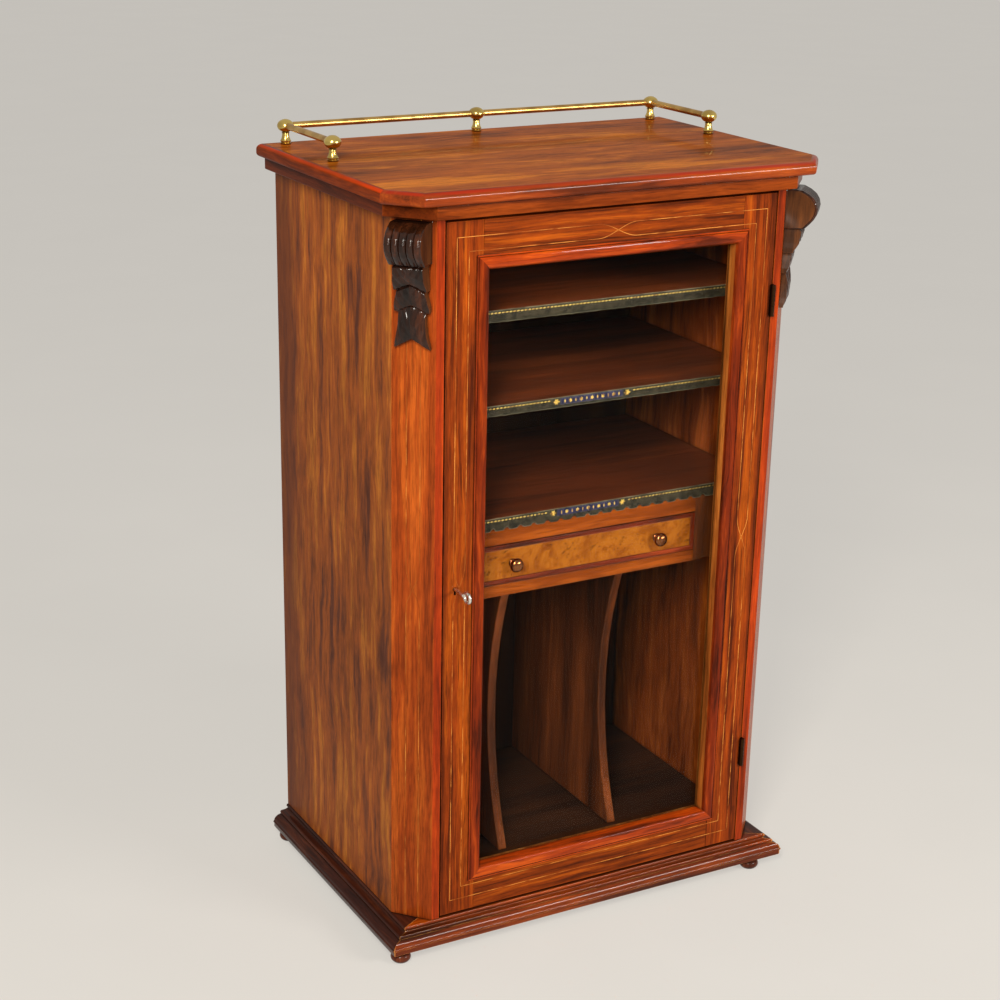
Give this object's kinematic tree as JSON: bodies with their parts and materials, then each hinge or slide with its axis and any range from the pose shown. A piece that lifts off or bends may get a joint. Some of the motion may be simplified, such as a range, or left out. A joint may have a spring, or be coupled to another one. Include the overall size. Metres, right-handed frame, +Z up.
{
  "type": "sheet music cabinet",
  "caption": "Tall canted-front walnut music cabinet with a glazed door, shelves, an inner drawer, upright music slots, carved corbels and a brass gallery.",
  "frame": {"origin": "on the floor, under the middle of the overall box", "axes": "+Z up, -Y out through the door, +X to the right hand of a person who faces the door, which is the hinge side"},
  "size_m": [0.591, 0.4098, 0.9892],
  "materials": {
    "walnut_side": "mottled figured walnut veneer, vertical grain, french polished",
    "walnut_frame": "orange-brown walnut with fine pale stringing, french polished",
    "walnut_top": "red-brown walnut, polished, bright rounded edge",
    "moulding": "dark red-brown stained moulding, glossy",
    "dark_carving": "very dark brown carved wood, polished",
    "interior_mahogany": "plain dark mahogany, worn satin polish",
    "burr_veneer": "golden figured veneer, polished",
    "drawer_lining": "bare pale drawer lining, aged",
    "knob_brass": "darkened brass, polished on the crown",
    "trim_leather": "dark blue-green leather with worn gilt ornament",
    "gallery_brass": "aged polished brass with brown tarnish",
    "fitting_brass": "dull brass",
    "key_steel": "bright worn steel",
    "glass": "clear old sheet glass"
  },
  "bodies": {
    "carcass": {"side_left": "walnut_side", "side_right": "walnut_side", "corner_post_left": "walnut_frame", "corner_post_right": "walnut_frame", "bottom_board": "interior_mahogany", "sub_top_board": "interior_mahogany", "back_panel": "interior_mahogany", "cornice_moulding": "moulding", "top_slab": "walnut_top", "plinth_front": "moulding", "plinth_left": "moulding", "plinth_right": "moulding", "plinth_back": "interior_mahogany", "foot_front_left": "dark_carving", "foot_front_right": "dark_carving", "foot_back_left": "dark_carving", "foot_back_right": "dark_carving", "corbel_left": "dark_carving", "corbel_right": "dark_carving", "gallery_post_front_left": "gallery_brass", "gallery_post_front_right": "gallery_brass", "gallery_post_back_left": "gallery_brass", "gallery_post_back_middle": "gallery_brass", "gallery_post_back_right": "gallery_brass", "gallery_rail_left": "gallery_brass", "gallery_rail_right": "gallery_brass", "gallery_rail_back": "gallery_brass", "shelf_upper": "interior_mahogany", "shelf_middle": "interior_mahogany", "shelf_lower": "interior_mahogany", "shelf_trim_upper": "trim_leather", "shelf_trim_middle": "trim_leather", "shelf_trim_lower": "trim_leather", "drawer_housing": "interior_mahogany", "drawer_rail_lower": "walnut_frame", "drawer_rail_upper": "walnut_frame", "slot_divider_left": "interior_mahogany", "slot_divider_right": "interior_mahogany", "hinge_post_plate_lower": "fitting_brass", "hinge_post_plate_upper": "fitting_brass"},
    "door": {"door_stile_left": "walnut_frame", "door_stile_right": "walnut_frame", "door_rail_bottom": "walnut_frame", "door_rail_top": "walnut_frame", "sash_moulding": "moulding", "glass_pane": "glass", "glazing_beads": "moulding", "hinge_door_plate_lower": "fitting_brass", "hinge_door_plate_upper": "fitting_brass", "lock_case": "fitting_brass"},
    "key": {"key": "key_steel"},
    "lock_bolt": {"lock_bolt": "fitting_brass"},
    "drawer": {"drawer_front": "burr_veneer", "drawer_cockbead": "moulding", "drawer_side_left": "drawer_lining", "drawer_side_right": "drawer_lining", "drawer_back": "drawer_lining", "drawer_bottom": "drawer_lining", "drawer_knob_left": "knob_brass", "drawer_knob_right": "knob_brass"}
  },
  "joints": [
    {"name": "door_hinge", "type": "hinge", "parent": "carcass", "child": "door", "pos_m": [0.2237, -0.16775, 0.4858], "axis": [0, 0, 1], "range_deg": [0, 145]},
    {"name": "drawer_slide", "type": "slide", "parent": "carcass", "child": "drawer", "axis": [0, -1, 0], "range_m": [0, 0.2]},
    {"name": "key_turn", "type": "hinge", "parent": "door", "child": "key", "pos_m": [-0.2074, -0.16465, 0.4863], "axis": [0, 1, 0], "range_deg": [0, 90]},
    {"name": "bolt_slide", "type": "slide", "parent": "door", "child": "lock_bolt", "axis": [-1, 0, 0], "range_m": [0, 0.006]}
  ],
  "couplings": [
    {"joint": "drawer_slide", "follows": "door_hinge", "m_per_rad": 0.079},
    {"joint": "key_turn", "follows": "bolt_slide", "rad_per_m": 261.6}
  ]
}
